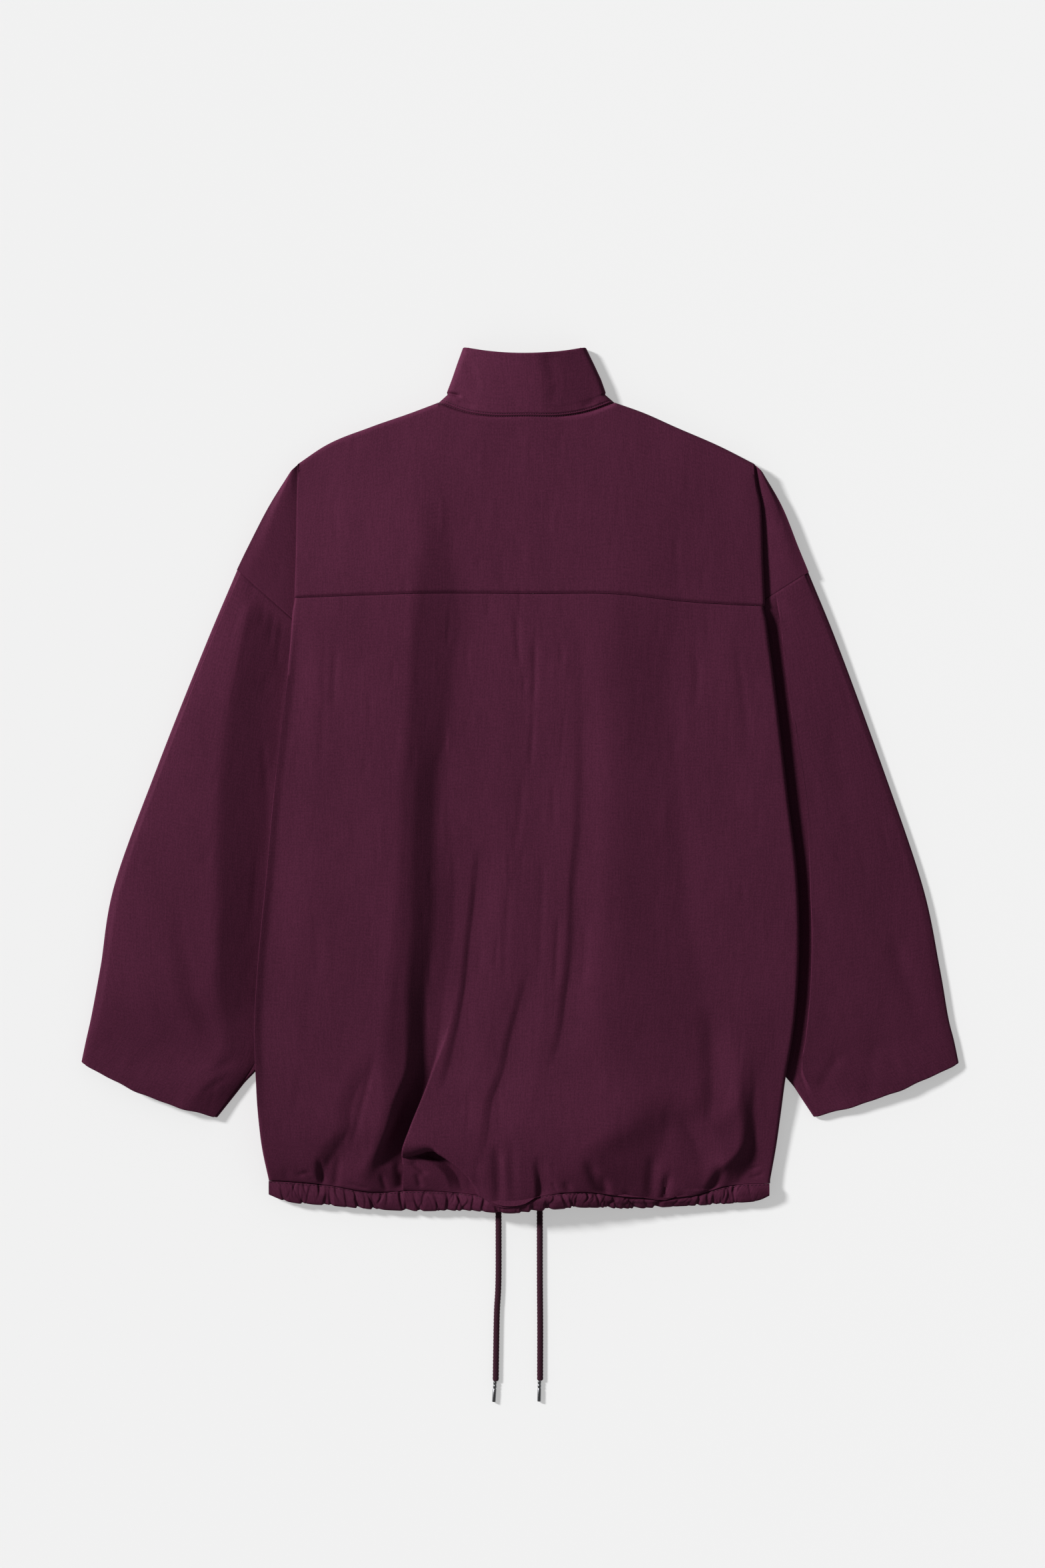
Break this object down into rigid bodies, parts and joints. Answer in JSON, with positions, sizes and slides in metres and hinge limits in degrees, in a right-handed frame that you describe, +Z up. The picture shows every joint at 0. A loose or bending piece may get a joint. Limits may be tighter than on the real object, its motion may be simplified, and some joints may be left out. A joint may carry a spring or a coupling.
{
  "type": "padded jacket",
  "caption": "Lightly padded jacket lying flat on its front: stand collar, back yoke with dropped shoulders, wide short sleeves, gathered hem with drawcord ends.",
  "frame": {"origin": "on the floor under the middle of the jacket's box, drawcord ends left out", "axes": "+X to the right across the sleeves as seen from above, +Y from hem to collar, +Z up from the floor"},
  "size_m": [0.8176, 0.9827, 0.0289],
  "materials": {
    "shell_cloth": "matt crinkled plum nylon, lightly padded",
    "cord": "flat braided plum cord",
    "tip_metal": "satin gunmetal"
  },
  "bodies": {
    "root": {"back_yoke": "shell_cloth", "back_panel": "shell_cloth", "collar": "shell_cloth", "sleeve_left": "shell_cloth", "sleeve_right": "shell_cloth", "front_left": "shell_cloth", "front_right": "shell_cloth", "front_placket": "shell_cloth", "hem_back": "shell_cloth", "hem_front_left": "shell_cloth", "hem_front_right": "shell_cloth", "drawcord_left": "cord", "drawcord_right": "cord", "cord_tip_left": "tip_metal", "cord_tip_right": "tip_metal"}
  },
  "joints": []
}
